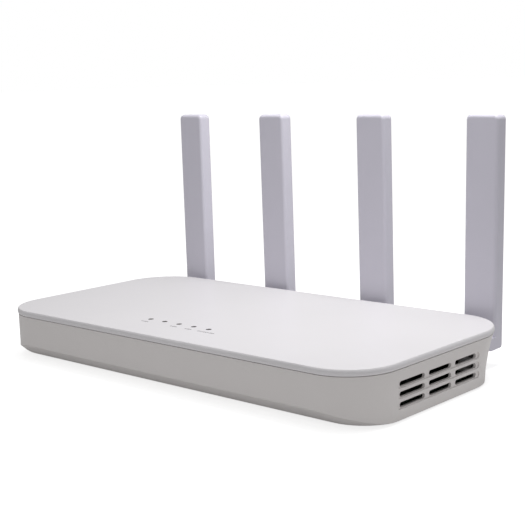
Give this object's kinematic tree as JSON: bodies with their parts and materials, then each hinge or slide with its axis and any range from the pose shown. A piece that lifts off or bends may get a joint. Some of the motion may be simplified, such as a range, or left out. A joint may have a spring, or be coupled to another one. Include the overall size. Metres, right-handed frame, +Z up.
{
  "type": "wifi range extender",
  "caption": "Low rounded desktop wifi box with a lift-off lid, side vents, status lights, rear network sockets and flat fold-back antennas.",
  "frame": {"origin": "on the desk, under the centre of the whole object's box", "axes": "+X to the right seen from the front, along the case's length; +Y to the back, where the antennas stand; +Z up"},
  "size_m": [0.2608, 0.1444, 0.1321],
  "materials": {
    "cover_plastic": "fine satin, cool white",
    "tray_plastic": "fine satin, cool white",
    "antenna_plastic": "fine satin, lavender white",
    "foot_rubber": "matt grey",
    "label_film": "matt film",
    "screw_steel": "zinc plated",
    "board_green": "solder mask",
    "chip_black": "moulded epoxy",
    "pad_grey": "soft",
    "sink_aluminium": "as extruded",
    "can_steel": "tinned",
    "capacitor_can": "drawn",
    "clear_guide": "clear, smoky when unlit",
    "led_body": "clear over phosphor",
    "socket_black": "glass-filled",
    "socket_blue": "glass-filled",
    "contact_gold": "plated",
    "button_grey": "satin",
    "switch_black": "moulded",
    "lead_grey": "extruded jacket"
  },
  "bodies": {
    "case": {"base_shell": "tray_plastic", "top_cover": "cover_plastic", "rubber_feet": "foot_rubber", "case_screws": "screw_steel", "rating_label": "label_film", "main_board": "board_green", "board_screws": "screw_steel", "processor": "chip_black", "thermal_pad": "pad_grey", "heat_sink": "sink_aluminium", "memory_chip": "chip_black", "flash_chip": "chip_black", "switch_chip": "chip_black", "shield_can_left": "can_steel", "shield_can_right": "can_steel", "capacitors": "capacitor_can", "transformers": "chip_black", "status_leds": "led_body", "light_pipe": "clear_guide", "lan_jack_1": "socket_black", "lan_jack_2": "socket_black", "lan_jack_3": "socket_black", "wan_jack": "socket_blue", "jack_contacts": "contact_gold", "dc_jack": "socket_black", "dc_pin": "contact_gold", "power_switch": "switch_black", "wps_switch": "switch_black", "reset_switch": "switch_black", "rf_connectors": "contact_gold", "antenna_1_hinge_bracket": "antenna_plastic", "antenna_1_lead": "lead_grey", "antenna_2_hinge_bracket": "antenna_plastic", "antenna_2_lead": "lead_grey", "antenna_3_hinge_bracket": "antenna_plastic", "antenna_3_lead": "lead_grey", "antenna_4_hinge_bracket": "antenna_plastic", "antenna_4_lead": "lead_grey"},
    "antenna_1": {"antenna_1_blade_front": "antenna_plastic", "antenna_1_blade_back": "antenna_plastic", "antenna_1_radiator": "board_green", "antenna_1_hinge_pin": "antenna_plastic"},
    "antenna_2": {"antenna_2_blade_front": "antenna_plastic", "antenna_2_blade_back": "antenna_plastic", "antenna_2_radiator": "board_green", "antenna_2_hinge_pin": "antenna_plastic"},
    "antenna_3": {"antenna_3_blade_front": "antenna_plastic", "antenna_3_blade_back": "antenna_plastic", "antenna_3_radiator": "board_green", "antenna_3_hinge_pin": "antenna_plastic"},
    "antenna_4": {"antenna_4_blade_front": "antenna_plastic", "antenna_4_blade_back": "antenna_plastic", "antenna_4_radiator": "board_green", "antenna_4_hinge_pin": "antenna_plastic"},
    "power_button": {"power_button": "button_grey"},
    "wps_button": {"wps_button": "button_grey"},
    "reset_button": {"reset_button": "switch_black"}
  },
  "joints": [
    {"name": "antenna_1_fold", "type": "hinge", "parent": "case", "child": "antenna_1", "pos_m": [-0.1056, 0.0602, 0.013], "axis": [-1, 0, -0.0026], "range_deg": [0, 90]},
    {"name": "antenna_2_fold", "type": "hinge", "parent": "case", "child": "antenna_2", "pos_m": [-0.0366, 0.0602, 0.013], "axis": [-1, 0, -0.0079], "range_deg": [0, 90]},
    {"name": "antenna_3_fold", "type": "hinge", "parent": "case", "child": "antenna_3", "pos_m": [0.0366, 0.0602, 0.013], "axis": [-1, 0, -0.0061], "range_deg": [0, 90]},
    {"name": "antenna_4_fold", "type": "hinge", "parent": "case", "child": "antenna_4", "pos_m": [0.1056, 0.0602, 0.013], "axis": [-0.9999, 0, 0.014], "range_deg": [0, 90]},
    {"name": "power_button_press", "type": "slide", "parent": "case", "child": "power_button", "axis": [0, -1, 0], "range_m": [0, 0.0012], "stiffness_N_per_m": 1500},
    {"name": "wps_button_press", "type": "slide", "parent": "case", "child": "wps_button", "axis": [0, -1, 0], "range_m": [0, 0.0006], "stiffness_N_per_m": 1200},
    {"name": "reset_button_press", "type": "slide", "parent": "case", "child": "reset_button", "axis": [0, -1, 0], "range_m": [0, 0.0006], "stiffness_N_per_m": 1200}
  ]
}
